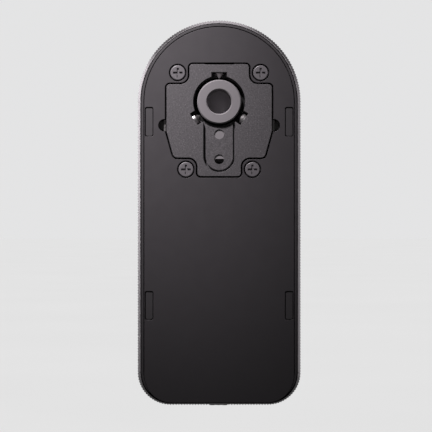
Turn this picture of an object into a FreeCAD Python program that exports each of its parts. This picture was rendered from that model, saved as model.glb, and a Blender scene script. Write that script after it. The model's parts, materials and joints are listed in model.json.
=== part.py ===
import FreeCAD, Part
import math
import os

from FreeCAD import Vector

# A battery video doorbell that mounts on a tube through the door.
# Frame: +Z up along the housing, the front (camera and button) faces -Y, the door side faces +Y.
# The origin is on the spigot's axis, in the plane where the mounting plate meets the door.
# Every length is in millimetres.

# Housing outline
BODY_WIDTH = 60.0
BODY_LENGTH = 141.3
BOTTOM_CORNER_R = 12.0
HALF_WIDTH = BODY_WIDTH / 2
TOP_Z = HALF_WIDTH
BOTTOM_Z = TOP_Z - BODY_LENGTH

# Planes through the depth, from the door (0) to the front
COVER_REAR_Y = -0.4
COVER_FRONT_Y = -2.2
BAND_REAR_Y = -0.5
BAND_FRONT_Y = -24.5
CHASSIS_REAR_Y = -3.5
PLATE_FRONT_Y = -5.2
CHASSIS_POCKET_Y = -5.3
SPIGOT_BASE_FRONT_Y = -7.0
CHASSIS_FRONT_Y = -8.4
BOARD_REAR_Y = -15.4
BOARD_FRONT_Y = -16.4
SHELL_FRONT_Y = -21.8
FRONT_COVER_REAR_Y = -22.8
FRONT_Y = -25.0

# Broken edges
COVER_EDGE = 0.12
PLATE_EDGE = 0.12
RIM_EDGE = 0.15
FRONT_EDGE = 0.7
FRONT_HOLE_EDGE = 0.2

# Ribbed side band
RIB_PITCH = 1.02
RIB_DEPTH = 0.3
BAND_WALL = 1.15
BAND_BEVEL = 0.95
BAND_BOTTOM_INSET = 0.62
BAND_INNER_CORNER_R = 11.0
SEAM_Z = -99.3
SEAM_GAP = 0.16

# Shell inside the band, and the rear cover inside the shell's rim
SHELL_INSET = 1.4
SHELL_WALL = 0.9
SHELL_BOTTOM_Z = -106.5
LEDGE_INSET = 4.5
COVER_SIDE_INSET = 2.5
COVER_BOTTOM_INSET = 0.9
COVER_CORNER_R = 10.0

# Spigot and the collar round it
SPIGOT_R = 8.07
SPIGOT_BORE_R = 4.44
SPIGOT_LEAD = 0.4
SPIGOT_WALL_END_Y = -4.8
SPIGOT_NECK_R = 7.8
GASKET_R = 9.2
NECK_R = 6.0
SPIGOT_BASE_X = 11.0
SPIGOT_BASE_Z = (-22.0, 11.0)
TONGUE_HALF_WIDTH = 4.8
TONGUE_REAR_Y = -3.0
TONGUE_Z = (-20.9, -9.4)
COLLAR_R = 9.54
COLLAR_STEP_R = 8.76

# Mounting plate: corners of the gap's centre line as (x, z, corner radius), right half
PLATE_CORNERS = [
    (11.2, 14.08, 1.5),
    (11.2, 6.71, 3.0),
    (19.6, 6.71, 1.5),
    (19.6, -10.9, 2.0),
    (16.84, -20.8, 2.0),
    (8.25, -20.8, 3.0),
    (8.25, -27.6, 1.5),
]
HALF_GAP = 0.28
KEY_SLOT_X = 5.15
KEY_SLOT_RELIEF = 0.15
CHANNEL_HALF_WIDTH = 5.78
CHANNEL_END_Z = -20.0
CHANNEL_DEPTH = 1.2
CHANNEL_FLOOR = 1.5
CHANNEL_GROOVE_WIDTH = 0.8
CHANNEL_GROOVE_DEPTH = 1.0
BOLT_HOLE_R = 1.8
HOLE_POCKET_R = 2.9
HOLE_FLOOR = 0.4
BOSS_R = 2.6
BOLT_HOLE_ZS = (-11.86, -21.04)
TONGUE_ROOM_X = 5.6
TONGUE_ROOM_Z = (-24.2, -8.2)

# Clamp screws: M4, cone point, in rectangular notches round the collar
CLAMP_ANGLES = {"top": 90.0, "left": 215.0, "right": -35.0}
CLAMP_LENGTHS = {"top": 4.0, "left": 6.0, "right": 6.0}
CLAMP_Y = -2.6
CLAMP_R = 2.0
CLAMP_BORE_R = 2.05
CLAMP_TIP_R = 8.74
NOTCH_WIDTHS = {"top": 5.65, "left": 5.0, "right": 5.0}
NOTCH_REACHES = {"top": 10.8, "left": 11.3, "right": 11.3}
NOTCH_DEPTH = 4.8

# Cover screws: M3 pan heads
COVER_SCREW_PLACES = [(15.2, 10.7), (-15.2, 10.7), (12.2, -24.8), (-12.2, -24.8)]
HEAD_R = 2.73
HEAD_HEIGHT = 1.75
HEAD_HOLE_R = 3.2
HEAD_SEAT_Y = -2.3
COVER_SCREW_TIP_Y = -9.6
SCREW_R = 1.5
CROSS_LENGTH = 3.5
CROSS_WIDTH = 0.75
CROWN_STEPS = 6
CROWN_SHARE = 0.2
RECESS_SHARE = 0.3

# Side catches of the mounting plate
CATCH_X = 20.05
CATCH_Z = -8.65
CATCH_HOLE_R = 2.27
CATCH_HALF_HEIGHT = 2.05
CATCH_NOSE_X = 19.62
CATCH_LEG_X = 20.02
CATCH_OUTER_X = 20.32

# Cover windows
WINDOW_INNER_X = 24.2
WINDOW_OUTER_X = 27.2
WINDOW_LUG_Y = -0.8
WINDOW_LUG_GAP = 0.26
WINDOW_RANGES = [(-12.7, -1.96), (-80.0, -69.5)]
WINDOW_CORNER_R = 0.6

# Battery drawer
BATTERY_X = 20.2
BATTERY_Y = (-13.4, -4.4)
BATTERY_Z = (-104.5, -42.0)
BATTERY_EDGE = 1.2
TRAY_WALL = 1.0
TRAY_GAP = 0.4
CONTACT_XS = (-6.0, 0.0, 6.0)
TRAY_HEADROOM = 1.6
CONTACT_BLOCK_X = (-8.4, 8.4)
CONTACT_BLOCK_Y = (-11.0, -6.8)
BULKHEAD_X = (-17.5, 17.5)
BULKHEAD_Y = (-21.6, -3.4)
BULKHEAD_TOP_Z = -107.0
SEAL_WALL = 1.2
SEAL_HEIGHT = 0.8
LOCK_SHAFT_R = 1.5
WING_REACH = 2.25
WING_THICKNESS = 1.2
KEEPER_X = (-2.6, 3.1)
LOCK_X = 0.25
LOCK_Y = -12.5

# Camera
WINDOW_R = 14.5
WINDOW_THICKNESS = 1.1
FILTER_TRAVEL = 8.0

# Doorbell button
BUTTON_Z = -86.0
BUTTON_R = 13.0
BUTTON_TRAVEL = 0.8
SWITCH_TOP_Y = -18.2

# Passive infrared sensor, speaker and microphone
PIR_Z = -31.0
PIR_R = 6.0
SPEAKER_Z = -53.0
SPEAKER_R = 11.0
SLOT_COUNT = 5
SLOT_PITCH = 2.6
SLOT_HALF = 0.6
SLOT_FIELD_R = 7.6
MICROPHONE_Z = -67.0

# Screws from the chassis into the spigot's base, and from the main board into the front cover
SPIGOT_SCREW_PLACES = [(9.0, 9.0), (-9.0, 9.0), (9.0, -19.8), (-9.0, -19.8)]
SPIGOT_SCREW_R = 1.0
BOARD_SCREW_PLACES = [(x, z) for x in (-23.4, 23.4) for z in (-26.0, -61.0, -96.0)]
BOARD_SCREW_R = 0.9


# ---------------------------------------------------------------- helpers


def rounded_polygon(corners):
    """A closed wire in the XZ plane through (x, z, radius) corners, with tangent arcs."""
    edges = []
    ends = []
    count = len(corners)
    for i, (x, z, radius) in enumerate(corners):
        corner = Vector(x, 0, z)
        before = Vector(corners[i - 1][0], 0, corners[i - 1][1])
        after = Vector(corners[(i + 1) % count][0], 0, corners[(i + 1) % count][1])
        to_before = (before - corner).normalize()
        to_after = (after - corner).normalize()
        half_angle = to_before.getAngle(to_after) / 2
        if radius <= 0:
            ends.append((corner, corner, None))
            continue
        setback = radius / math.tan(half_angle)
        bisector = (to_before + to_after).normalize()
        centre = corner + bisector * (radius / math.sin(half_angle))
        start = corner + to_before * setback
        finish = corner + to_after * setback
        ends.append((start, finish, centre - bisector * radius))
    for i, (start, finish, middle) in enumerate(ends):
        if middle is not None:
            edges.append(Part.Arc(start, middle, finish).toShape())
        following = ends[(i + 1) % count][0]
        if (following - finish).Length > 1e-6:
            edges.append(Part.LineSegment(finish, following).toShape())
    return Part.Wire(edges)


def body_outline(inset, bottom_inset=None, corner_r=None):
    """The housing's outline, moved inwards: a half circle on top and two bottom corners."""
    if bottom_inset is None:
        bottom_inset = inset
    if corner_r is None:
        corner_r = BOTTOM_CORNER_R - inset
    half = HALF_WIDTH - inset
    bottom = BOTTOM_Z + bottom_inset
    return rounded_polygon([
        (half, half, half),
        (half, bottom, corner_r),
        (-half, bottom, corner_r),
        (-half, half, half),
    ])


def prism(wire, y_from, y_to):
    """A wire in the XZ plane, filled and extruded between two depths."""
    face = Part.Face(wire) if isinstance(wire, Part.Wire) else wire.copy()
    face.translate(Vector(0, y_from, 0))
    return face.extrude(Vector(0, y_to - y_from, 0))


def block(x_range, y_range, z_range):
    x0, x1 = sorted(x_range)
    y0, y1 = sorted(y_range)
    z0, z1 = sorted(z_range)
    return Part.makeBox(x1 - x0, y1 - y0, z1 - z0, Vector(x0, y0, z0))


def plate_block(x_range, y_range, z_range, radius):
    """A block with its four edges along Y rounded."""
    x0, x1 = sorted(x_range)
    z0, z1 = sorted(z_range)
    wire = rounded_polygon([(x0, z0, radius), (x1, z0, radius), (x1, z1, radius), (x0, z1, radius)])
    return prism(wire, *y_range)


def rod(radius, y_from, y_to, x=0.0, z=0.0):
    low = min(y_from, y_to)
    return Part.makeCylinder(radius, abs(y_to - y_from), Vector(x, low, z), Vector(0, 1, 0))


def ring(outer, inner, y_from, y_to, x=0.0, z=0.0):
    hole = rod(inner, min(y_from, y_to) - 1, max(y_from, y_to) + 1, x, z)
    return rod(outer, y_from, y_to, x, z).cut(hole)


def turned(points, x=0.0, z=0.0):
    """A solid of revolution about a line along Y, from (radius, y) points."""
    corners = [Vector(radius, y, 0) for radius, y in points]
    face = Part.Face(Part.makePolygon(corners + [corners[0]]))
    solid = face.revolve(Vector(0, 0, 0), Vector(0, 1, 0), 360)
    solid.translate(Vector(x, 0, z))
    return solid


def fused(*shapes):
    result = shapes[0]
    for shape in shapes[1:]:
        result = result.fuse(shape)
    return result.removeSplitter()


def mirrored(shape):
    return shape.mirror(Vector(0, 0, 0), Vector(1, 0, 0))


def group(shapes):
    return Part.makeCompound(shapes)


def edges_at(shape, y):
    """The edges that lie in the plane at depth y."""
    found = []
    for edge in shape.Edges:
        if all(abs(vertex.Point.y - y) < 1e-6 for vertex in edge.Vertexes):
            if abs(edge.valueAt((edge.FirstParameter + edge.LastParameter) / 2).y - y) < 1e-6:
                found.append(edge)
    return found


def chamfered(shape, y, size):
    """The shape with every edge in the plane at depth y broken by a small chamfer."""
    return shape.makeChamfer(size, edges_at(shape, y))


def pan_screw(x, z, seat_y, tip_y, shank_r, head_r, head_height):
    """A pan head screw that points towards -Y, with a crossed recess."""
    top_y = seat_y + head_height
    crown = head_height * CROWN_SHARE
    edge = [
        (head_r - crown * (1 - math.cos(turn)), top_y - crown * (1 - math.sin(turn)))
        for turn in (math.pi / 2 * i / CROWN_STEPS for i in range(CROWN_STEPS + 1))
    ]
    head = turned([(0, seat_y), (head_r, seat_y)] + edge + [(0, top_y)], x, z)
    recess_depth = head_height * RECESS_SHARE
    for half_x, half_z in ((CROSS_LENGTH / 2, CROSS_WIDTH / 2), (CROSS_WIDTH / 2, CROSS_LENGTH / 2)):
        scale = head_r / HEAD_R
        arm = block(
            (x - half_x * scale, x + half_x * scale),
            (top_y - recess_depth, top_y + 1),
            (z - half_z * scale, z + half_z * scale),
        )
        head = head.cut(arm)
    return head.fuse(rod(shank_r, seat_y, tip_y, x, z)).removeSplitter()


# ---------------------------------------------------------------- ribbed band and shell


def ribbed_outline():
    """The housing's outline as straight-sided ribs, tips on the outline and roots inside it."""
    smooth = body_outline(0)
    ribs = round(smooth.Length / RIB_PITCH)
    points = smooth.discretize(Number=2 * ribs + 1)[:-1]
    centre = Vector(0, 0, SEAM_Z / 2)
    teeth = []
    for i, point in enumerate(points):
        along = points[(i + 1) % len(points)] - points[i - 1]
        inward = Vector(-along.z, 0, along.x).normalize()
        if inward.dot(centre - point) < 0:
            inward = inward * -1
        depth = RIB_DEPTH if i % 2 else 0.0
        teeth.append(point + inward * depth)
    return Part.makePolygon(teeth + [teeth[0]])


def ribbed_band():
    """The whole side band: ribs outside, smooth inside, bevelled at the rear and the front."""
    blank = prism(body_outline(0), BAND_REAR_Y, BAND_FRONT_Y)
    rims = []
    for edge in blank.Edges:
        box = edge.BoundBox
        if box.YLength < 1e-6:
            rims.append(edge)
    bevelled = blank.makeChamfer(BAND_BEVEL, rims)
    inner = body_outline(BAND_WALL, BAND_BOTTOM_INSET, BAND_INNER_CORNER_R)
    bevelled = bevelled.cut(prism(inner, 1, FRONT_Y - 1))
    return prism(ribbed_outline(), BAND_REAR_Y, BAND_FRONT_Y).common(bevelled)


def below(z):
    return block((-40, 40), (-40, 10), (z - 60, z))


def knurled_frame(band):
    return band.cut(below(SEAM_Z + SEAM_GAP / 2)).removeSplitter()


def bottom_cap(band):
    """The band below the seam, with the bulkhead that closes the housing's open end."""
    band_end = band.common(below(SEAM_Z - SEAM_GAP / 2))
    bulkhead_z = (BOTTOM_Z + BAND_BOTTOM_INSET - 0.2, BULKHEAD_TOP_Z)
    bulkhead = block(BULKHEAD_X, BULKHEAD_Y, bulkhead_z)
    cap = band_end.fuse(bulkhead)
    for x in (-13.0, 13.0):
        cap = cap.fuse(block((x - 2.0, x + 2.0), (-12.0, -6.0), (BULKHEAD_TOP_Z, BATTERY_Z[0])))
    keeper_x = (KEEPER_X[0] - 1.0, KEEPER_X[1] + 1.1)
    keeper_room = block(keeper_x, (-20.8, -16.6), (BULKHEAD_TOP_Z - 2.4, BULKHEAD_TOP_Z + 1))
    shaft_hole = Part.makeCylinder(LOCK_SHAFT_R + 0.05, 12, Vector(LOCK_X, LOCK_Y, BOTTOM_Z - 1))
    return cap.cut(keeper_room).cut(shaft_hole).removeSplitter()


def lock_knob():
    """A small wing under the bottom edge, on the shaft that carries the lock's cam."""
    wing_top = BOTTOM_Z - 0.1
    wing_low = wing_top - WING_THICKNESS
    shaft_length = BULKHEAD_TOP_Z + 1.6 - wing_top
    shaft = Part.makeCylinder(LOCK_SHAFT_R, shaft_length, Vector(LOCK_X, LOCK_Y, wing_top))
    waist = Part.makeCylinder(1.1, WING_THICKNESS, Vector(LOCK_X, LOCK_Y, wing_low))
    knob = shaft.fuse(waist)
    for lobe_x in (LOCK_X - WING_REACH, LOCK_X + WING_REACH):
        knob = knob.fuse(Part.makeCylinder(1.3, WING_THICKNESS, Vector(lobe_x, LOCK_Y, wing_low)))
    web_x = (LOCK_X - WING_REACH, LOCK_X + WING_REACH)
    web = block(web_x, (LOCK_Y - 0.6, LOCK_Y + 0.6), (wing_low, wing_top))
    knob = knob.fuse(web).removeSplitter()
    tips = [edge for edge in knob.Edges if edge.BoundBox.ZMax < wing_low + 1e-6]
    return knob.makeChamfer(0.25, tips)


def lock_cam():
    """The arm on the inner end of the lock's shaft. It points along +X when unlocked."""
    low = BULKHEAD_TOP_Z + 0.3
    high = low + 1.2
    hub = Part.makeCylinder(2.6, high - low, Vector(LOCK_X, LOCK_Y, low))
    arm = block((LOCK_X, LOCK_X + 6.4), (LOCK_Y - 1.4, LOCK_Y + 1.4), (low, high))
    hole = Part.makeCylinder(LOCK_SHAFT_R, 4, Vector(LOCK_X, LOCK_Y, low - 1))
    return hub.fuse(arm).cut(hole).removeSplitter()


def rear_cover_blank(grow=0.0):
    wire = body_outline(COVER_SIDE_INSET - grow, COVER_BOTTOM_INSET - grow, COVER_CORNER_R + grow)
    return prism(wire, 1, COVER_FRONT_Y - 0.05)


def back_shell():
    """The wall inside the band: its rear rim shows, and its ledge carries the rear cover."""
    outer = prism(body_outline(SHELL_INSET), BAND_REAR_Y, SHELL_FRONT_Y)
    hollow = prism(body_outline(SHELL_INSET + SHELL_WALL), 1, FRONT_Y)
    wall = chamfered(outer.cut(hollow), BAND_REAR_Y, RIM_EDGE).cut(rear_cover_blank(0.12))
    ledge = prism(body_outline(SHELL_INSET + SHELL_WALL - 0.1), COVER_FRONT_Y - 0.1, CHASSIS_REAR_Y)
    ledge = ledge.cut(prism(body_outline(LEDGE_INSET), 1, FRONT_Y))
    shell = wall.fuse(ledge)
    for z_low, z_high in WINDOW_RANGES:
        for side in (-1, 1):
            lug = plate_block(
                (side * (WINDOW_INNER_X + WINDOW_LUG_GAP), side * (WINDOW_OUTER_X - WINDOW_LUG_GAP)),
                (WINDOW_LUG_Y, COVER_FRONT_Y - 0.1),
                (z_low + WINDOW_LUG_GAP, z_high - WINDOW_LUG_GAP),
                WINDOW_CORNER_R,
            )
            shell = shell.fuse(lug)
    return shell.cut(below(SHELL_BOTTOM_Z)).removeSplitter()


# ---------------------------------------------------------------- mount side


def plate_face(offset):
    """The mounting plate's outline, moved out (positive) or in from the gap's centre line."""
    left = [(-x, z, radius) for x, z, radius in reversed(PLATE_CORNERS)]
    face = Part.Face(rounded_polygon(PLATE_CORNERS + left))
    return face.makeOffset2D(offset)


def clamp_direction(side):
    angle = math.radians(CLAMP_ANGLES[side])
    return Vector(math.cos(angle), 0, math.sin(angle))


def clamp_notch(side):
    """A rectangular notch from the collar outwards, open to the plate's rear face."""
    notch = block(
        (0, NOTCH_REACHES[side]),
        (-NOTCH_DEPTH, 1),
        (-NOTCH_WIDTHS[side] / 2, NOTCH_WIDTHS[side] / 2),
    )
    notch.rotate(Vector(0, 0, 0), Vector(0, 1, 0), -CLAMP_ANGLES[side])
    return notch


def clamp_bore(side):
    direction = clamp_direction(side)
    start = direction * (NOTCH_REACHES[side] - 1)
    return Part.makeCylinder(CLAMP_BORE_R, 30, start + Vector(0, CLAMP_Y, 0), direction)


def clamp_screw(side):
    """A set screw with a 90 degree cone point towards the collar and a hexagon socket."""
    length = CLAMP_LENGTHS[side]
    flat = 0.3
    cone = CLAMP_R - flat
    screw = turned([
        (0, 0),
        (flat, 0),
        (CLAMP_R, cone),
        (CLAMP_R, length - 0.2),
        (CLAMP_R - 0.2, length),
        (0, length),
    ])
    hexagon = [
        Vector(1.15 * math.cos(math.radians(60 * i)), length - 2.0, 1.15 * math.sin(math.radians(60 * i)))
        for i in range(6)
    ]
    socket = Part.Face(Part.makePolygon(hexagon + [hexagon[0]])).extrude(Vector(0, 3, 0))
    screw = screw.cut(socket)
    screw.rotate(Vector(0, 0, 0), Vector(0, 0, 1), -90)
    screw.translate(Vector(CLAMP_TIP_R, CLAMP_Y, 0))
    screw.rotate(Vector(0, 0, 0), Vector(0, 1, 0), -CLAMP_ANGLES[side])
    return screw


def channel(y_from, y_to, half_width=CHANNEL_HALF_WIDTH):
    """The slot below the collar, with a round lower end."""
    low = CHANNEL_END_Z - half_width
    wire = rounded_polygon([
        (half_width, 0, 0),
        (half_width, low, half_width - 0.001),
        (-half_width, low, half_width - 0.001),
        (-half_width, 0, 0),
    ])
    return prism(wire, y_from, y_to)


def channel_groove():
    """The narrow groove round the edge of the channel's floor."""
    depths = (-CHANNEL_DEPTH + 0.1, -CHANNEL_DEPTH - CHANNEL_GROOVE_DEPTH)
    inside = channel(*depths, CHANNEL_HALF_WIDTH - CHANNEL_GROOVE_WIDTH)
    return channel(*depths).cut(inside)


def mounting_plate():
    """The plate against the door: collar, three clamp notches, channel and two bolt holes."""
    channel_floor_y = -CHANNEL_DEPTH - CHANNEL_FLOOR
    plate = prism(plate_face(-HALF_GAP), 0, PLATE_FRONT_Y)
    collar = rod(COLLAR_R, 1, PLATE_FRONT_Y - 1)
    step = block((-CHANNEL_HALF_WIDTH, CHANNEL_HALF_WIDTH), (channel_floor_y, -1.9), (-COLLAR_R - 1, -4))
    step = step.common(rod(COLLAR_R + 0.5, -1.9, channel_floor_y))
    plate = plate.cut(collar).cut(channel(1, -CHANNEL_DEPTH))
    plate = plate.fuse(step).cut(rod(COLLAR_STEP_R, 1, PLATE_FRONT_Y - 1))
    room_x = (-TONGUE_ROOM_X, TONGUE_ROOM_X)
    plate = plate.cut(block(room_x, (channel_floor_y, PLATE_FRONT_Y - 1), TONGUE_ROOM_Z))
    for z in BOLT_HOLE_ZS:
        pocket = rod(HOLE_POCKET_R, -CHANNEL_DEPTH - HOLE_FLOOR, PLATE_FRONT_Y, 0, z)
        plate = plate.cut(rod(BOLT_HOLE_R, 1, PLATE_FRONT_Y - 1, 0, z)).cut(pocket)
    plate = plate.cut(channel_groove())
    for side in CLAMP_ANGLES:
        plate = plate.cut(clamp_notch(side)).cut(clamp_bore(side))
    edge_x = PLATE_CORNERS[2][0] - HALF_GAP
    for side in (-1, 1):
        notch = block(
            (side * (edge_x - 0.75), side * (edge_x + 1)),
            (-3.6, -1.8),
            (CATCH_Z - 2.4, CATCH_Z + 2.4),
        )
        plate = plate.cut(notch)
    plate_top = PLATE_CORNERS[0][1] - HALF_GAP
    relief_z = (plate_top - KEY_SLOT_RELIEF, plate_top + 1)
    plate = plate.cut(block((-KEY_SLOT_X, KEY_SLOT_X), (1, PLATE_FRONT_Y - 1), relief_z))
    return chamfered(plate.removeSplitter(), 0, PLATE_EDGE)


def rear_cover():
    """The flat rear cover: pocket for the plate, screw counterbores, catch holes and windows."""
    cover = prism(
        body_outline(COVER_SIDE_INSET, COVER_BOTTOM_INSET, COVER_CORNER_R), COVER_REAR_Y, COVER_FRONT_Y
    )
    for x, z in COVER_SCREW_PLACES:
        cover = cover.fuse(rod(HEAD_HOLE_R + 0.42, COVER_FRONT_Y + 0.4, CHASSIS_REAR_Y, x, z))
    cover = cover.cut(prism(plate_face(HALF_GAP), 1, CHASSIS_REAR_Y - 1))
    for x, z in COVER_SCREW_PLACES:
        cover = cover.cut(rod(HEAD_HOLE_R, 1, HEAD_SEAT_Y, x, z))
        cover = cover.cut(rod(SCREW_R + 0.1, 1, CHASSIS_REAR_Y - 1, x, z))
    for side in (-1, 1):
        cover = cover.cut(rod(CATCH_HOLE_R, 1, COVER_FRONT_Y - 1, side * CATCH_X, CATCH_Z))
        for z_low, z_high in WINDOW_RANGES:
            window = plate_block(
                (side * WINDOW_INNER_X, side * WINDOW_OUTER_X),
                (1, COVER_FRONT_Y - 1),
                (z_low, z_high),
                WINDOW_CORNER_R,
            )
            cover = cover.cut(window)
    return chamfered(cover.removeSplitter(), COVER_REAR_Y, COVER_EDGE)


def cover_screws():
    return group([
        pan_screw(x, z, HEAD_SEAT_Y, COVER_SCREW_TIP_Y, SCREW_R, HEAD_R, HEAD_HEIGHT)
        for x, z in COVER_SCREW_PLACES
    ])


def spigot_base(grow, y_from, y_to):
    half = SPIGOT_BASE_X + grow
    z_range = (SPIGOT_BASE_Z[0] - grow, SPIGOT_BASE_Z[1] + grow)
    return plate_block((-half, half), (y_from, y_to), z_range, 2.0)


def viewer_spigot():
    """The ring that a tube slides over, with its base, its tongue and its through bore."""
    barrel = turned([
        (0, SPIGOT_LEAD),
        (SPIGOT_R - SPIGOT_LEAD, SPIGOT_LEAD),
        (SPIGOT_R, 0),
        (SPIGOT_R, SPIGOT_WALL_END_Y),
        (SPIGOT_NECK_R, SPIGOT_WALL_END_Y),
        (SPIGOT_NECK_R, CHASSIS_POCKET_Y - 0.1),
        (0, CHASSIS_POCKET_Y - 0.1),
    ])
    base = spigot_base(0, CHASSIS_POCKET_Y - 0.1, SPIGOT_BASE_FRONT_Y)
    tongue_x = (-TONGUE_HALF_WIDTH, TONGUE_HALF_WIDTH)
    tongue = block(tongue_x, (CHASSIS_POCKET_Y - 0.2, TONGUE_REAR_Y), TONGUE_Z)
    for z in BOLT_HOLE_ZS:
        boss = rod(BOSS_R, TONGUE_REAR_Y - 0.1, -CHANNEL_DEPTH - HOLE_FLOOR - 0.05, 0, z)
        tongue = tongue.fuse(boss.cut(below(TONGUE_Z[0])))
    neck = rod(NECK_R, SPIGOT_BASE_FRONT_Y, CHASSIS_FRONT_Y)
    spigot = fused(barrel, base, tongue, neck)
    bore = turned([
        (0, SPIGOT_LEAD + 1),
        (SPIGOT_BORE_R + SPIGOT_LEAD + 1, SPIGOT_LEAD + 1),
        (SPIGOT_BORE_R, 0),
        (SPIGOT_BORE_R, CHASSIS_FRONT_Y - 1),
        (0, CHASSIS_FRONT_Y - 1),
    ])
    for x, z in SPIGOT_SCREW_PLACES:
        spigot = spigot.cut(rod(SPIGOT_SCREW_R, -5.8, SPIGOT_BASE_FRONT_Y - 1, x, z))
    return spigot.cut(bore).removeSplitter()


def spigot_gasket():
    """The black rubber ring at the foot of the spigot, which the door tube's end meets."""
    return ring(GASKET_R, SPIGOT_NECK_R + 0.02, SPIGOT_WALL_END_Y - 0.05, CHASSIS_POCKET_Y - 0.1)


def mount_chassis():
    """The tray behind the rear cover: pocket, spigot seat, screw holes and catch slots."""
    outline = rounded_polygon([
        (25.0, 25.0, 20.0),
        (25.0, -31.0, 5.0),
        (-25.0, -31.0, 5.0),
        (-25.0, 25.0, 20.0),
    ])
    chassis = prism(outline, CHASSIS_REAR_Y, CHASSIS_FRONT_Y)
    chassis = chassis.common(prism(body_outline(SHELL_INSET + SHELL_WALL + 0.1), 0, FRONT_Y))
    chassis = chassis.cut(prism(plate_face(HALF_GAP + 0.05), 1, CHASSIS_POCKET_Y))
    chassis = chassis.cut(spigot_base(0.1, 0, SPIGOT_BASE_FRONT_Y))
    chassis = chassis.cut(rod(NECK_R + 0.05, 0, CHASSIS_FRONT_Y - 1))
    for x, z in COVER_SCREW_PLACES:
        boss = rod(HEAD_HOLE_R, CHASSIS_FRONT_Y, COVER_SCREW_TIP_Y - 0.2, x, z)
        chassis = chassis.fuse(boss).cut(rod(SCREW_R, 1, COVER_SCREW_TIP_Y, x, z))
    for x, z in SPIGOT_SCREW_PLACES:
        chassis = chassis.cut(rod(SPIGOT_SCREW_R + 0.1, 0, CHASSIS_FRONT_Y - 1, x, z))
    key_slot = block((-KEY_SLOT_X, KEY_SLOT_X), (CHASSIS_REAR_Y + 1, CHASSIS_POCKET_Y), (12.0, 17.5))
    chassis = chassis.cut(key_slot)
    for side in (-1, 1):
        slot = block(
            (side * 18.9, side * 22.6),
            (1, CHASSIS_FRONT_Y - 1),
            (CATCH_Z - CATCH_HOLE_R - 0.1, CATCH_Z + CATCH_HOLE_R + 0.1),
        )
        chassis = chassis.cut(slot)
    return chassis.removeSplitter()


def spigot_screws():
    """Four small pan head screws, from the chassis' front face into the spigot's base."""
    screws = []
    for x, z in SPIGOT_SCREW_PLACES:
        screw = pan_screw(x, z, 0, -2.4, SPIGOT_SCREW_R, 1.9, 1.1)
        screw.rotate(Vector(x, 0, z), Vector(0, 0, 1), 180)
        screw.translate(Vector(0, CHASSIS_FRONT_Y, 0))
        screws.append(screw)
    return group(screws)


def catch():
    """A sprung steel catch: a nose beside the plate, a leg through the chassis and a foot."""
    height = (CATCH_Z - CATCH_HALF_HEIGHT, CATCH_Z + CATCH_HALF_HEIGHT)
    nose = block((CATCH_NOSE_X, CATCH_OUTER_X), (-3.3, -1.9), height)
    leg = block((CATCH_LEG_X, CATCH_OUTER_X), (-9.1, -1.9), height)
    foot = block((CATCH_LEG_X, CATCH_OUTER_X + 4.0), (-9.1, -8.8), height)
    return fused(nose, leg, foot)


def cable_grommet():
    return rod(6.9, CHASSIS_FRONT_Y, -9.6)


# ---------------------------------------------------------------- battery drawer


def battery_pack():
    wire = rounded_polygon([
        (BATTERY_X, BATTERY_Z[0], 1.5),
        (BATTERY_X, BATTERY_Z[1], 1.5),
        (-BATTERY_X, BATTERY_Z[1], 1.5),
        (-BATTERY_X, BATTERY_Z[0], 1.5),
    ])
    pack = prism(wire, *BATTERY_Y)
    return pack.makeFillet(BATTERY_EDGE, edges_at(pack, BATTERY_Y[0]) + edges_at(pack, BATTERY_Y[1]))


def battery_pads():
    """Three flat contacts on the battery's upper end."""
    top = BATTERY_Z[1]
    return group([block((x - 1.6, x + 1.6), (-10.4, -7.4), (top, top + 0.3)) for x in CONTACT_XS])


def battery_tray():
    """The sleeve that the battery slides up into. Its lower end is open."""
    inner_x = BATTERY_X + TRAY_GAP
    inner_y = (BATTERY_Y[0] - TRAY_GAP, BATTERY_Y[1] + TRAY_GAP)
    top = BATTERY_Z[1] + TRAY_HEADROOM
    bottom = SHELL_BOTTOM_Z + 1.6
    outer = block(
        (-inner_x - TRAY_WALL, inner_x + TRAY_WALL),
        (inner_y[0] - TRAY_WALL, inner_y[1] + TRAY_WALL),
        (bottom, top + TRAY_WALL),
    )
    inner = block((-inner_x, inner_x), inner_y, (bottom - 1, top))
    window = block(CONTACT_BLOCK_X, CONTACT_BLOCK_Y, (top - 1, top + 3))
    return outer.cut(inner).cut(window)


def contact_pins():
    """The contact block in the tray's end wall, with three sprung pins."""
    tray_top = BATTERY_Z[1] + TRAY_HEADROOM
    holder = block(CONTACT_BLOCK_X, CONTACT_BLOCK_Y, (tray_top, tray_top + TRAY_WALL + 2.0))
    for x in CONTACT_XS:
        pin = Part.makeCylinder(0.7, 1.2, Vector(x, -8.9, BATTERY_Z[1] + 0.45))
        holder = holder.fuse(pin)
    return holder.removeSplitter()


def drawer_seal():
    """The rubber ring on the bulkhead's upper face."""
    x_range = (BULKHEAD_X[0] + 0.1, BULKHEAD_X[1] - 0.1)
    y_range = (BULKHEAD_Y[0] + 0.1, BULKHEAD_Y[1] - 0.1)
    outer = block(x_range, y_range, (BULKHEAD_TOP_Z, BULKHEAD_TOP_Z + SEAL_HEIGHT))
    inner = block(
        (x_range[0] + SEAL_WALL, x_range[1] - SEAL_WALL),
        (y_range[0] + SEAL_WALL / 2, y_range[1] - SEAL_WALL * 2 / 3),
        (BULKHEAD_TOP_Z - 1, BULKHEAD_TOP_Z + 2),
    )
    return outer.cut(inner)


# ---------------------------------------------------------------- front side


def lock_keeper():
    """A hook behind the front face: its foot lies under the lock's arm when that is turned."""
    foot_low = BULKHEAD_TOP_Z - 1.6
    arm_z = (BULKHEAD_TOP_Z + 2.3, BULKHEAD_TOP_Z + 3.5)
    reach = block(KEEPER_X, (-20.2, FRONT_COVER_REAR_Y), arm_z)
    finger = block(KEEPER_X, (-20.2, -19.2), (foot_low, arm_z[1]))
    foot = block(KEEPER_X, (-20.2, -17.2), (foot_low, BULKHEAD_TOP_Z - 0.2))
    return fused(reach, finger, foot)


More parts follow.
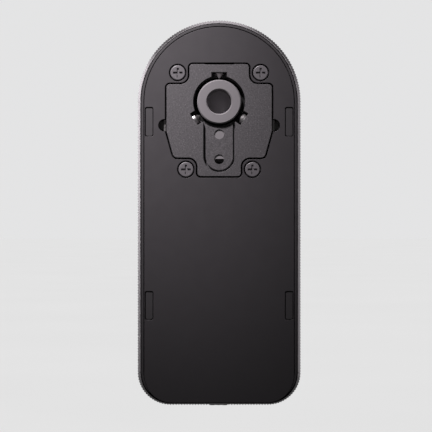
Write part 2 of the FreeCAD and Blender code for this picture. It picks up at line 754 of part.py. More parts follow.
def front_cover():
    """The front face, with its openings, its board posts and the keeper of the drawer's lock."""
    cover = prism(body_outline(SHELL_INSET, 0.9, 10.7), FRONT_COVER_REAR_Y, FRONT_Y)
    cover = cover.makeFillet(FRONT_EDGE, edges_at(cover, FRONT_Y))
    for x, z in BOARD_SCREW_PLACES:
        cover = cover.fuse(rod(2.2, BOARD_FRONT_Y, FRONT_COVER_REAR_Y, x, z))
    cover = cover.fuse(lock_keeper())
    cover = cover.cut(rod(WINDOW_R + 0.05, FRONT_Y + WINDOW_THICKNESS, FRONT_Y - 1))
    cover = cover.cut(rod(WINDOW_R - 1.6, 0, FRONT_Y - 1))
    cover = cover.cut(rod(PIR_R + 0.1, 0, FRONT_Y - 1, 0, PIR_Z))
    cover = cover.cut(rod(BUTTON_R + 1.9, 0, FRONT_Y - 1, 0, BUTTON_Z))
    cover = cover.cut(rod(0.7, 0, FRONT_Y - 1, 0, MICROPHONE_Z))
    for i in range(SLOT_COUNT):
        z = SPEAKER_Z + (i - (SLOT_COUNT - 1) / 2) * SLOT_PITCH
        half = math.sqrt(SLOT_FIELD_R**2 - (z - SPEAKER_Z) ** 2)
        slot_z = (z - SLOT_HALF, z + SLOT_HALF)
        slot = plate_block((-half, half), (0, FRONT_Y - 1), slot_z, SLOT_HALF - 0.01)
        cover = cover.cut(slot)
    for x, z in BOARD_SCREW_PLACES:
        cover = cover.cut(rod(BOARD_SCREW_R, BOARD_FRONT_Y + 1, -20.6, x, z))
    cover = cover.removeSplitter()
    openings = [edge for edge in edges_at(cover, FRONT_Y) if edge.BoundBox.DiagonalLength < 60]
    return cover.makeChamfer(FRONT_HOLE_EDGE, openings)


def front_gasket():
    ring_shape = prism(body_outline(SHELL_INSET + 0.1), SHELL_FRONT_Y, FRONT_COVER_REAR_Y)
    ring_shape = ring_shape.cut(prism(body_outline(SHELL_INSET + SHELL_WALL), 0, FRONT_Y))
    return ring_shape.cut(below(SHELL_BOTTOM_Z))


def camera_window():
    edge = 0.25
    return turned([
        (0, FRONT_Y + WINDOW_THICKNESS),
        (WINDOW_R, FRONT_Y + WINDOW_THICKNESS),
        (WINDOW_R, FRONT_Y + edge),
        (WINDOW_R - edge, FRONT_Y),
        (0, FRONT_Y),
    ])


def camera_board():
    return plate_block((-13.0, 13.0), (-10.0, -11.0), (-11.0, 11.0), 1.0)


def image_sensor():
    return block((-4.0, 4.0), (-12.4, -11.0), (-3.6, 3.6))


def camera_bracket():
    """The housing between the board and the lens, with a slot for the sliding filter."""
    bracket = plate_block((-14.6, 14.6), (-11.0, -15.8), (-8.0, 8.0), 1.5)
    chamber = block((-5.2, 5.2), (0, -13.1), (-4.8, 4.8))
    slot = block((-13.2, 13.2), (-12.9, -14.9), (-5.2, 5.2))
    return bracket.cut(chamber).cut(slot).cut(rod(3.4, 0, -20))


def filter_slider():
    """The carriage that swaps the infrared-cut glass and the clear glass before the sensor."""
    slider = block((-4.4, 12.4), (-13.2, -14.6), (-4.5, 4.5))
    for x in (0.0, FILTER_TRAVEL):
        slider = slider.cut(block((x - 3.3, x + 3.3), (0, -13.7), (-3.5, 3.5)))
        slider = slider.cut(block((x - 2.7, x + 2.7), (0, -20), (-2.9, 2.9)))
    return slider


def filter_glasses():
    return group([
        block((x - 3.3, x + 3.3), (-13.2, -13.7), (-3.5, 3.5)) for x in (0.0, FILTER_TRAVEL)
    ])


def filter_solenoid():
    coil = Part.makeCylinder(2.2, 9.0, Vector(-4.5, -13.4, 10.4), Vector(1, 0, 0))
    yokes = [block((x - 0.5, x + 0.5), (-15.6, -11.2), (8.0, 12.6)) for x in (-5.0, 5.0)]
    return fused(coil, *yokes)


def lens_barrel():
    """A stepped barrel that holds the lenses, wider at its front."""
    return turned([
        (3.4, -15.8),
        (6.2, -15.8),
        (6.2, -19.0),
        (7.2, -19.0),
        (7.2, -22.2),
        (5.4, -22.2),
        (4.4, -21.2),
        (4.4, -17.0),
        (3.4, -17.0),
    ])


def lens_disc(y_rear, y_front, radius, bulge):
    """A lens with a domed front face."""
    centre_drop = (radius**2 + bulge**2) / (2 * bulge)
    ball = Part.makeSphere(centre_drop, Vector(0, y_front - bulge + centre_drop, 0))
    return rod(radius, y_rear, y_front - bulge).common(ball)


def camera_lenses():
    return group([
        lens_disc(-17.0, -17.9, 4.4, 0.5),
        lens_disc(-18.8, -19.4, 4.4, 0.4),
        lens_disc(-20.2, -20.7, 4.4, 1.1),
    ])


def ir_led_board():
    board = ring(13.0, 8.2, -20.0, -20.8)
    posts = [block((x - 0.8, x + 0.8), (-15.8, -20.0), (-7.6, -6.0)) for x in (-10.0, 10.0)]
    posts += [block((x - 0.8, x + 0.8), (-15.8, -20.0), (6.0, 7.6)) for x in (-9.0, 9.0)]
    return fused(board, *posts)


def ir_leds():
    leds = []
    for i in range(6):
        angle = math.radians(30 + 60 * i)
        x = 10.7 * math.cos(angle)
        z = 10.7 * math.sin(angle)
        foot = block((x - 1.5, x + 1.5), (-20.8, -21.3), (z - 1.5, z + 1.5))
        dome = rod(1.2, -21.3, -21.8, x, z)
        leds.append(foot.fuse(dome))
    return group(leds)


def camera_flex():
    """A flat ribbon from the camera board down to the main board."""
    path = [(-10.9, -11.0), (-10.9, -20.0), (-12.4, -21.4), (-17.0, -21.4), (-18.1, -22.2), (-18.1, -25.4)]
    thickness = 0.2
    front = [Vector(-4.0, y, z) for y, z in path]
    back = [Vector(-4.0, y + thickness, z - thickness * 0.4) for y, z in reversed(path[1:-1])]
    back = [Vector(-4.0, -18.1 + thickness, -25.4)] + back + [Vector(-4.0, -10.9 + thickness, -11.0)]
    face = Part.Face(Part.makePolygon(front + back + [front[0]]))
    return face.extrude(Vector(8.0, 0, 0))


def pir_lens():
    """A thin domed lens with a flange behind the front cover."""
    dome_rise = 0.9
    inner_r = PIR_R - 0.8
    outer = rod(PIR_R, FRONT_COVER_REAR_Y, FRONT_Y, 0, PIR_Z)
    ball_r = (PIR_R**2 + dome_rise**2) / (2 * dome_rise)
    ball = Part.makeSphere(ball_r, Vector(0, FRONT_Y - dome_rise + ball_r, PIR_Z))
    cap = rod(PIR_R, FRONT_Y, FRONT_Y - dome_rise - 1, 0, PIR_Z).common(ball)
    flange = rod(PIR_R + 1.4, FRONT_COVER_REAR_Y + 0.8, FRONT_COVER_REAR_Y, 0, PIR_Z)
    hollow = rod(inner_r, 0, FRONT_Y + 0.3, 0, PIR_Z)
    return fused(outer, cap, flange).cut(hollow)


def pir_sensor():
    can = rod(4.2, BOARD_FRONT_Y, -20.6, 0, PIR_Z)
    rim = rod(4.7, BOARD_FRONT_Y, -17.0, 0, PIR_Z)
    window = block((-2.0, 2.0), (-20.9, -20.4), (PIR_Z - 1.5, PIR_Z + 1.5))
    return fused(can, rim, window)


def speaker_basket():
    basket = ring(SPEAKER_R, SPEAKER_R - 1.2, -18.2, -21.9, 0, SPEAKER_Z)
    floor = ring(SPEAKER_R, 6.05, -18.2, -19.0, 0, SPEAKER_Z)
    return fused(basket, floor)


def speaker_magnet():
    pot = rod(6.0, BOARD_FRONT_Y, -19.0, 0, SPEAKER_Z)
    groove = ring(4.6, 3.8, -17.4, -20, 0, SPEAKER_Z)
    return pot.cut(groove)


def speaker_cone():
    """A shallow cone, free to move in and out."""
    return turned([
        (0, -20.1),
        (3.2, -20.1),
        (9.2, -21.2),
        (9.2, -21.4),
        (3.2, -20.5),
        (0, -20.5),
    ], 0, SPEAKER_Z)


def speaker_gasket():
    return ring(SPEAKER_R, SPEAKER_R - 1.4, -22.0, FRONT_COVER_REAR_Y, 0, SPEAKER_Z)


def speaker_mesh():
    """A woven screen behind the slots, as a thin disc inside the gasket."""
    return rod(SPEAKER_R - 1.5, FRONT_COVER_REAR_Y + 0.2, FRONT_COVER_REAR_Y, 0, SPEAKER_Z)


def microphone():
    return block(
        (-2.0, 2.0),
        (FRONT_COVER_REAR_Y + 1.2, FRONT_COVER_REAR_Y),
        (MICROPHONE_Z - 1.5, MICROPHONE_Z + 1.5),
    )


def main_pcb():
    board = plate_block((-25.6, 25.6), (BOARD_REAR_Y, BOARD_FRONT_Y), (-100.0, -22.5), 2.0)
    for x, z in BOARD_SCREW_PLACES:
        board = board.cut(rod(1.1, 0, FRONT_Y, x, z))
    return board


def board_screws():
    return group([
        pan_screw(x, z, BOARD_REAR_Y, -20.4, BOARD_SCREW_R, 1.7, 1.0) for x, z in BOARD_SCREW_PLACES
    ])


def processor():
    return block((10.0, 19.0), (BOARD_FRONT_Y, -17.6), (-46.0, -37.0))


def shield_can():
    outer = plate_block((-21.0, -10.0), (BOARD_FRONT_Y, -18.6), (-48.0, -34.0), 0.8)
    inner = block((-20.8, -10.2), (0, -18.4), (-47.8, -34.2))
    return outer.cut(inner)


def wifi_antenna():
    """A folded strip that stands on the board's upper corner."""
    mast = block((19.0, 19.6), (BOARD_FRONT_Y, -19.4), (-33.0, -24.0))
    arm = block((12.0, 19.6), (-19.4, -20.0), (-26.0, -24.0))
    tip = block((12.0, 12.6), (-19.4, -20.0), (-33.0, -24.0))
    return fused(mast, arm, tip)


def board_parts():
    """Connectors, coils and capacitors that stand on the main board."""
    parts = [
        block((-5.0, 5.0), (BOARD_FRONT_Y, -17.9), (-25.4, -22.6)),
        block((-21.0, -16.5), (BOARD_FRONT_Y, -19.0), (-70.0, -64.5)),
        block((14.0, 20.0), (BOARD_FRONT_Y, -18.4), (-70.0, -66.0)),
    ]
    for i in range(4):
        parts.append(rod(1.9, BOARD_FRONT_Y, -20.0, 18.4, -73.0 - 5.0 * i))
        low = -74.0 - 4.0 * i
        parts.append(block((-21.5, -18.5), (BOARD_FRONT_Y, -17.4), (low - 2.0, low)))
    return group(parts)


def tact_switch():
    base = block((-3.0, 3.0), (BOARD_FRONT_Y, -17.8), (BUTTON_Z - 3.0, BUTTON_Z + 3.0))
    return fused(base, rod(1.6, -17.8, SWITCH_TOP_Y, 0, BUTTON_Z))


def doorbell_button():
    """A round cap with a slight dish, a retaining flange and the stem that meets the switch."""
    front = FRONT_Y - 0.4
    dish = 0.5
    cap = turned([
        (0, -22.0),
        (BUTTON_R + 1.3, -22.0),
        (BUTTON_R + 1.3, -22.7),
        (BUTTON_R, -22.7),
        (BUTTON_R, front + 0.7),
        (BUTTON_R - 0.25, front + 0.2),
        (BUTTON_R - 0.8, front),
        (BUTTON_R - 1.8, front),
        (BUTTON_R - 4.0, front + dish * 0.7),
        (0, front + dish),
    ], 0, BUTTON_Z)
    stem_end_y = SWITCH_TOP_Y - BUTTON_TRAVEL - 0.1
    return fused(cap, rod(2.6, -22.0, stem_end_y, 0, BUTTON_Z))


def button_light_ring():
    """A clear ring flush with the front, round the button."""
    outer = BUTTON_R + 1.85
    inner = BUTTON_R + 0.25
    return turned([
        (inner, -23.0),
        (outer, -23.0),
        (outer, FRONT_Y + 0.2),
        (outer - 0.2, FRONT_Y),
        (inner + 0.3, FRONT_Y),
        (inner, FRONT_Y + 0.3),
    ], 0, BUTTON_Z)


def button_guide():
    """The cup behind the button, which carries its spring and guides its stem."""
    wall = ring(BUTTON_R + 3.4, BUTTON_R + 1.7, -18.6, -22.8, 0, BUTTON_Z)
    floor = ring(BUTTON_R + 3.4, 2.65, -18.6, -19.4, 0, BUTTON_Z)
    return fused(wall, floor)


def button_spring():
    """A short coil spring between the guide's floor and the button."""
    wire_r = 0.22
    coil_r = 7.0
    pitch = 0.8
    height = 22.0 - 19.4 - 2 * wire_r - 0.04
    helix = Part.makeHelix(pitch, height, coil_r)
    section = Part.Wire(Part.makeCircle(wire_r, Vector(coil_r, 0, 0), Vector(0, 1, 0)))
    spring = Part.Wire(helix).makePipeShell([section], True, True)
    spring.rotate(Vector(0, 0, 0), Vector(1, 0, 0), 90)
    spring.translate(Vector(0, -19.4 - wire_r - 0.02, BUTTON_Z))
    return spring


# ---------------------------------------------------------------- build


def all_nodes():
    band = ribbed_band()
    return {
        "knurled_frame": knurled_frame(band),
        "bottom_cap": bottom_cap(band),
        "back_shell": back_shell(),
        "rear_cover": rear_cover(),
        "cover_screws": cover_screws(),
        "mounting_plate": mounting_plate(),
        "clamp_screw_top": clamp_screw("top"),
        "clamp_screw_left": clamp_screw("left"),
        "clamp_screw_right": clamp_screw("right"),
        "viewer_spigot": viewer_spigot(),
        "spigot_gasket": spigot_gasket(),
        "mount_chassis": mount_chassis(),
        "spigot_screws": spigot_screws(),
        "cable_grommet": cable_grommet(),
        "catch_right": catch(),
        "catch_left": mirrored(catch()),
        "lock_knob": lock_knob(),
        "lock_cam": lock_cam(),
        "battery_pack": battery_pack(),
        "battery_pads": battery_pads(),
        "battery_tray": battery_tray(),
        "contact_pins": contact_pins(),
        "drawer_seal": drawer_seal(),
        "front_cover": front_cover(),
        "front_gasket": front_gasket(),
        "camera_window": camera_window(),
        "camera_board": camera_board(),
        "image_sensor": image_sensor(),
        "camera_bracket": camera_bracket(),
        "filter_slider": filter_slider(),
        "filter_glasses": filter_glasses(),
        "filter_solenoid": filter_solenoid(),
        "lens_barrel": lens_barrel(),
        "camera_lenses": camera_lenses(),
        "ir_led_board": ir_led_board(),
        "ir_leds": ir_leds(),
        "camera_flex": camera_flex(),
        "pir_lens": pir_lens(),
        "pir_sensor": pir_sensor(),
        "speaker_basket": speaker_basket(),
        "speaker_magnet": speaker_magnet(),
        "speaker_cone": speaker_cone(),
        "speaker_gasket": speaker_gasket(),
        "speaker_mesh": speaker_mesh(),
        "microphone": microphone(),
        "main_pcb": main_pcb(),
        "board_screws": board_screws(),
        "processor": processor(),
        "shield_can": shield_can(),
        "wifi_antenna": wifi_antenna(),
        "board_parts": board_parts(),
        "tact_switch": tact_switch(),
        "doorbell_button": doorbell_button(),
        "button_light_ring": button_light_ring(),
        "button_guide": button_guide(),
        "button_spring": button_spring(),
    }


os.makedirs("parts", exist_ok=True)
for node, shape in all_nodes().items():
    shape.exportStep(f"parts/{node}.step")
    box = shape.BoundBox
    print(
        f"{node}: {len(shape.Solids)} solid(s), {shape.Volume:.1f} mm3, valid {shape.isValid()},",
        f"x {box.XMin:.2f} {box.XMax:.2f}, y {box.YMin:.2f} {box.YMax:.2f},",
        f"z {box.ZMin:.2f} {box.ZMax:.2f}",
    )
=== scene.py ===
import json
import math

import bpy
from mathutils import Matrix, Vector


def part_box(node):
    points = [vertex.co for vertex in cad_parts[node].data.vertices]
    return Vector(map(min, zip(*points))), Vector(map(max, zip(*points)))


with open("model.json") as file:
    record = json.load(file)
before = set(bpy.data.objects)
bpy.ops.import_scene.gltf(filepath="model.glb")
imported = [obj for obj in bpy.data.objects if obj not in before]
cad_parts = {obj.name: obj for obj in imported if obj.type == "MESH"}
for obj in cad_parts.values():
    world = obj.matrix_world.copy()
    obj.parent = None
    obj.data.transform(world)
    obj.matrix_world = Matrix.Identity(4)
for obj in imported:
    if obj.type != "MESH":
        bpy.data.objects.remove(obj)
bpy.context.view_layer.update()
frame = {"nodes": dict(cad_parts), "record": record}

# A video doorbell seen from its door side. Everything is in metres, in the CAD frame:
# +Z up along the housing, +Y out of the rear face, the origin on the spigot's axis.

MM = 0.001
NODES = frame["nodes"]

# Camera: square to the rear face, through a long lens
VIEW_WIDTH = 158.4 * MM
VIEW_CENTRE_X = 1.17 * MM
VIEW_CENTRE_Z = -41.9 * MM
CAMERA_DISTANCE = 0.6
SENSOR_WIDTH = 36.0

# Studio: the floor lies below the battery drawer's lowest place. Angles are in degrees.
FLOOR_Z = -0.215
FLOOR_RADIUS = 12.0
FLOOR_COLOR = (0.80, 0.80, 0.80)
FLOOR_BOUNCE = 0.15
FLOOR_SUN = 3.05
FLOOR_SUN_ANGLE = 60.0
FLOOR_SUN_TILT = (-12.0, 14.0)
BACKGROUND = (0.775, 0.775, 0.78)
ROOM_COLOR = (1.0, 0.97, 1.0)
ROOM_LIGHT = 0.04
LAMP_COLOR = (1.0, 0.945, 0.98)
LAMP_AIM = (0.0, 0.0, VIEW_CENTRE_Z)

# The key is a soft spot. Its cone is in degrees, and lamp powers are in watts.
KEY_CONE = 22.0
KEY_RADIUS = 0.04
KEY_PLACE = (0.176, 0.292, 0.382)
KEY_AIM = (0.0526, 0.0, 0.0483)
KEY_POWER = 41.0

# Softboxes: name, width, height, place, power
FRONT_SOFTBOXES = (
    ("front_key", 0.35, 0.35, (-0.22, -0.55, 0.36), 7.0),
    ("front_fill", 0.3, 0.5, (0.45, -0.45, 0.05), 3.0),
    ("front_gloss", 0.5, 0.3, (0.0, -0.9, 0.42), 5.0),
)
BAND_SOFTBOXES = (
    ("rim_left", 0.2, 0.3, (0.40, 0.03, 0.09), 0.52),
    ("rim_right", 0.2, 0.3, (-0.40, 0.06, -0.02), 0.13),
    ("rim_top", 0.3, 0.2, (0.0, 0.02, 0.40), 0.3),
    ("rim_rear", 0.4, 0.4, (0.14, 0.45, 0.34), 2.8),
    ("rim_front", 0.6, 0.5, (0.0, -0.7, 0.2), 0.9),
    ("side_left", 0.3, 0.4, (0.42, -0.40, 0.12), 0.9),
    ("side_right", 0.3, 0.4, (-0.42, -0.40, 0.12), 0.9),
)
BAND_NODES = ("knurled_frame", "bottom_cap")

# The Mix node's colour sockets
MIX_FIRST = 6
MIX_SECOND = 7
MIX_RESULT = 2


# ---------------------------------------------------------------- shader helpers


class Shader:
    """A material with one Principled shader, and short ways to add textures to it."""

    def __init__(self, name, color, roughness, metallic=0.0, specular=0.5):
        self.material = bpy.data.materials.new(name)
        self.material.use_nodes = True
        self.tree = self.material.node_tree
        self.bsdf = self.tree.nodes["Principled BSDF"]
        self.bsdf.inputs["Base Color"].default_value = (*color, 1)
        self.bsdf.inputs["Roughness"].default_value = roughness
        self.bsdf.inputs["Metallic"].default_value = metallic
        self.bsdf.inputs["Specular IOR Level"].default_value = specular
        self.place = self.tree.nodes.new("ShaderNodeTexCoord").outputs["Object"]

    def fill(self, socket, value):
        """Links another node's output to a socket, or sets a plain value on it."""
        if isinstance(value, bpy.types.NodeSocket):
            self.tree.links.new(value, socket)
        else:
            socket.default_value = value

    def node(self, kind, **inputs):
        made = self.tree.nodes.new(kind)
        for name, value in inputs.items():
            self.fill(made.inputs[name], value)
        return made

    def link(self, output, name):
        self.tree.links.new(output, self.bsdf.inputs[name])

    def stretched(self, x, y, z):
        """The object's coordinates with each axis scaled, for grain that runs one way."""
        mapping = self.node("ShaderNodeMapping", Vector=self.place)
        mapping.inputs["Scale"].default_value = (x, y, z)
        return mapping.outputs["Vector"]

    def noise(self, scale, detail=2.0, roughness=0.5, vector=None):
        vector = vector or self.place
        made = self.node("ShaderNodeTexNoise", Vector=vector, Scale=scale, Detail=detail)
        made.inputs["Roughness"].default_value = roughness
        return made.outputs["Fac"]

    def cells(self, scale):
        made = self.node("ShaderNodeTexVoronoi", Vector=self.place, Scale=scale)
        return made.outputs["Distance"]

    def waves(self, scale, direction="X", vector=None):
        made = self.node("ShaderNodeTexWave", Vector=vector or self.place, Scale=scale)
        made.bands_direction = direction
        return made.outputs["Fac"]

    def spread(self, value, low, high, to_low=0.0, to_high=1.0):
        """A value mapped from one range to another, clamped."""
        made = self.node("ShaderNodeMapRange", Value=value)
        made.inputs["From Min"].default_value = low
        made.inputs["From Max"].default_value = high
        made.inputs["To Min"].default_value = to_low
        made.inputs["To Max"].default_value = to_high
        return made.outputs["Result"]

    def mixed(self, factor, first, second):
        """Two colours mixed by a factor."""
        made = self.tree.nodes.new("ShaderNodeMix")
        made.data_type = "RGBA"
        self.tree.links.new(factor, made.inputs["Factor"])
        for index, value in ((MIX_FIRST, first), (MIX_SECOND, second)):
            is_color = isinstance(value, tuple)
            self.fill(made.inputs[index], (*value, 1) if is_color else value)
        return made.outputs[MIX_RESULT]

    def calculated(self, operation, first, second):
        made = self.tree.nodes.new("ShaderNodeMath")
        made.operation = operation
        for socket, value in zip(made.inputs, (first, second)):
            self.fill(socket, value)
        return made.outputs["Value"]

    def bumped(self, height, distance, strength=1.0, under=None):
        made = self.node("ShaderNodeBump", Height=height, Distance=distance, Strength=strength)
        if under is not None:
            self.tree.links.new(under, made.inputs["Normal"])
        self.link(made.outputs["Normal"], "Normal")
        return made.outputs["Normal"]

    def radius(self, x=0.0, z=0.0):
        """The distance from a line along Y through (x, z), for turned parts."""
        parts = self.node("ShaderNodeSeparateXYZ", Vector=self.place)
        dx = self.calculated("SUBTRACT", parts.outputs["X"], x)
        dz = self.calculated("SUBTRACT", parts.outputs["Z"], z)
        x_squared = self.calculated("POWER", dx, 2.0)
        z_squared = self.calculated("POWER", dz, 2.0)
        return self.calculated("SQRT", self.calculated("ADD", x_squared, z_squared), 0.0)

    def turned(self, frequency, x=0.0, z=0.0):
        """Fine rings round a line along Y through (x, z), such as a lathe leaves."""
        scaled = self.calculated("MULTIPLY", self.radius(x, z), frequency)
        joined = self.node("ShaderNodeCombineXYZ", X=scaled)
        return self.waves(1.0, vector=joined.outputs["Vector"])


def shade(color, amount):
    return tuple(min(1.0, channel * amount) for channel in color)


# ---------------------------------------------------------------- materials


def moulded(name, color, roughness, grain=4200.0, depth=0.012, specular=0.5):
    """Moulded plastic: fine spark-eroded grain, slow colour drift and uneven gloss."""
    shader = Shader(name, color, roughness, specular=specular)
    drift = shader.noise(28.0, 3.0)
    drifted = shader.mixed(drift, shade(color, 0.95), shade(color, 1.05))
    sparks = shader.noise(grain, 3.0, 0.6)
    fine = shader.mixed(sparks, shade(color, 0.8), shade(color, 1.2))
    mean = shader.spread(shader.noise(grain / 2, 2.0), 0.3, 0.7)
    shader.link(shader.mixed(mean, drifted, fine), "Base Color")
    gloss = shader.noise(210.0, 4.0)
    shader.link(shader.spread(gloss, 0.3, 0.7, roughness - 0.015, roughness + 0.02), "Roughness")
    shader.bumped(sparks, depth * MM)
    return shader.material


def cover_material():
    return moulded("cover", (0.030, 0.0275, 0.0300), 0.46, grain=5200.0, depth=0.008)


def plate_material():
    """Cast metal under a textured coat: tight grain with small bright flecks."""
    color = (0.049, 0.046, 0.049)
    shader = Shader("plate", color, 0.52)
    grain = shader.noise(1900.0, 4.0, 0.8)
    flecks = shader.spread(shader.cells(1700.0), 0.2, 0.1)
    body = shader.mixed(shader.spread(grain, 0.36, 0.64), shade(color, 0.5), shade(color, 1.5))
    shader.link(shader.mixed(flecks, body, shade(color, 3.2)), "Base Color")
    shader.link(shader.spread(grain, 0.36, 0.64, 0.6, 0.44), "Roughness")
    shader.bumped(grain, 0.05 * MM)
    return shader.material


def spigot_material():
    """Blasted light metal with faint turning rings."""
    color = (0.157, 0.149, 0.155)
    shader = Shader("spigot", color, 0.42, metallic=0.15)
    grain = shader.noise(6000.0, 3.0)
    shader.link(shader.mixed(grain, shade(color, 0.92), shade(color, 1.08)), "Base Color")
    shader.link(shader.spread(grain, 0.3, 0.7, 0.38, 0.48), "Roughness")
    ringed = shader.bumped(shader.turned(1400.0), 0.002 * MM)
    shader.bumped(grain, 0.004 * MM, under=ringed)
    return shader.material


def band_material():
    """Bright metal with fine streaks that run along Y, as the ribs do."""
    color = (0.42, 0.41, 0.418)
    shader = Shader("band", color, 0.34, metallic=0.9)
    streaks = shader.noise(900.0, 4.0, 0.6, shader.stretched(1.0, 0.08, 1.0))
    shader.link(shader.mixed(streaks, shade(color, 0.78), shade(color, 1.18)), "Base Color")
    shader.link(shader.spread(streaks, 0.3, 0.7, 0.3, 0.42), "Roughness")
    shader.bumped(streaks, 0.006 * MM)
    return shader.material


def shell_material():
    return moulded("shell", (0.030, 0.028, 0.030), 0.48, grain=4800.0, depth=0.008)


def chassis_material():
    return moulded("chassis", (0.006, 0.006, 0.0065), 0.6, grain=3600.0)


def coated_screw_material():
    """Black-coated steel, rubbed a little where a driver has turned."""
    color = (0.085, 0.080, 0.085)
    shader = Shader("screw_dark", color, 0.42)
    wear = shader.noise(1500.0, 5.0, 0.7)
    shader.link(shader.mixed(shader.spread(wear, 0.62, 0.72), color, shade(color, 2.6)), "Base Color")
    shader.link(shader.spread(wear, 0.3, 0.7, 0.36, 0.5), "Roughness")
    shader.bumped(shader.noise(5000.0, 3.0), 0.006 * MM)
    return shader.material


def bright_metal(name, color, roughness, scale=2500.0, along=(1.0, 1.0, 1.0)):
    """Plated or rolled metal with fine drawn lines."""
    shader = Shader(name, color, roughness, metallic=1.0)
    lines = shader.noise(scale, 4.0, 0.6, shader.stretched(*along))
    shader.link(shader.mixed(lines, shade(color, 0.82), shade(color, 1.12)), "Base Color")
    shader.link(shader.spread(lines, 0.3, 0.7, roughness - 0.06, roughness + 0.08), "Roughness")
    shader.bumped(lines, 0.004 * MM)
    return shader.material


# The pale grey of this rubber is painted light: it makes the cable grommet, deep in the shaded bore,
# as bright as a lit floor.
def rubber_with_painted_light():
    return moulded("rubber", (0.42, 0.40, 0.42), 0.72, grain=2600.0, depth=0.02, specular=0.3)


def seal_material():
    return moulded("seal", (0.0045, 0.0045, 0.0045), 0.75, grain=2600.0, depth=0.02, specular=0.25)


def battery_material():
    """Matte black shrink film over the cell."""
    shader = Shader("battery", (0.014, 0.014, 0.015), 0.4)
    ripples = shader.noise(160.0, 2.0, 0.5, shader.stretched(1.0, 1.0, 0.35))
    shader.link(shader.mixed(ripples, (0.011, 0.011, 0.012), (0.02, 0.02, 0.021)), "Base Color")
    shader.link(shader.spread(ripples, 0.3, 0.7, 0.34, 0.5), "Roughness")
    shader.bumped(ripples, 0.09 * MM)
    return shader.material


def front_material():
    """Satin-gloss black front with a trace of orange peel and fine dust."""
    color = (0.011, 0.011, 0.012)
    shader = Shader("front", color, 0.2)
    peel = shader.noise(320.0, 2.0)
    dust = shader.spread(shader.cells(620.0), 0.045, 0.02)
    shader.link(shader.mixed(dust, color, (0.04, 0.04, 0.042)), "Base Color")
    shader.link(shader.spread(shader.noise(90.0, 4.0), 0.3, 0.7, 0.19, 0.22), "Roughness")
    shader.bumped(peel, 0.008 * MM, 0.6)
    return shader.material


def glass_material(name, color, alpha, roughness=0.04):
    """Coated glass, drawn as a tinted gloss surface that lets part of what is behind show."""
    shader = Shader(name, color, roughness, specular=0.8)
    shader.bsdf.inputs["Alpha"].default_value = alpha
    shader.bsdf.inputs["Coat Weight"].default_value = 0.6
    haze = shader.noise(140.0, 3.0)
    shader.link(shader.spread(haze, 0.3, 0.7, roughness, roughness + 0.03), "Roughness")
    return shader.material


def board_material():
    """Solder-masked board: fine copper tracks show through as lighter lines."""
    color = (0.008, 0.045, 0.024)
    shader = Shader("board", color, 0.34)
    tracks = shader.node("ShaderNodeTexBrick", Vector=shader.place, Scale=320.0)
    tracks.inputs["Mortar Size"].default_value = 0.06
    tracks.inputs["Color1"].default_value = (0, 0, 0, 1)
    tracks.inputs["Color2"].default_value = (0, 0, 0, 1)
    tracks.inputs["Mortar"].default_value = (1, 1, 1, 1)
    shader.link(shader.mixed(tracks.outputs["Color"], color, shade(color, 2.4)), "Base Color")
    shader.bumped(tracks.outputs["Color"], 0.03 * MM)
    return shader.material


def copper_material():
    """A wound coil of enamelled wire."""
    shader = Shader("copper", (0.5, 0.2, 0.08), 0.3, metallic=1.0)
    turns = shader.waves(900.0)
    shader.link(shader.mixed(turns, (0.28, 0.1, 0.04), (0.62, 0.28, 0.12)), "Base Color")
    shader.bumped(turns, 0.08 * MM)
    return shader.material


def flex_material():
    """Amber ribbon with copper conductors along its length."""
    shader = Shader("flex", (0.32, 0.13, 0.02), 0.3)
    stripes = shader.spread(shader.waves(500.0), 0.4, 0.6)
    shader.link(shader.mixed(stripes, (0.2, 0.07, 0.012), (0.45, 0.2, 0.05)), "Base Color")
    return shader.material


def woven_material(name, color, pitch):
    """A tight woven screen or pressed fibre."""
    shader = Shader(name, color, 0.8)
    threads = shader.calculated("MULTIPLY", shader.waves(pitch, "X"), shader.waves(pitch, "Z"))
    shader.link(shader.mixed(threads, shade(color, 0.4), shade(color, 2.2)), "Base Color")
    shader.bumped(threads, 0.06 * MM)
    return shader.material


def button_material():
    """Satin black cap with turning rings in its dish."""
    low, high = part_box("doorbell_button")
    centre = (low + high) / 2
    color = (0.012, 0.012, 0.013)
    shader = Shader("button", color, 0.28)
    smudge = shader.noise(120.0, 4.0)
    shader.link(shader.spread(smudge, 0.3, 0.7, 0.22, 0.36), "Roughness")
    shader.link(shader.mixed(smudge, shade(color, 0.85), shade(color, 1.3)), "Base Color")
    shader.bumped(shader.turned(900.0, centre.x, centre.z), 0.004 * MM)
    return shader.material


def light_ring_material():
    """Frosted diffuser that scatters light inside it and gives off none."""
    color = (0.62, 0.66, 0.7)
    shader = Shader("light_ring", color, 0.4)
    cloud = shader.noise(700.0, 4.0)
    shader.link(shader.mixed(cloud, shade(color, 0.85), shade(color, 1.1)), "Base Color")
    shader.bsdf.inputs["Subsurface Weight"].default_value = 0.3
    shader.bsdf.inputs["Subsurface Radius"].default_value = (MM, MM, MM)
    shader.bumped(cloud, 0.01 * MM)
    return shader.material


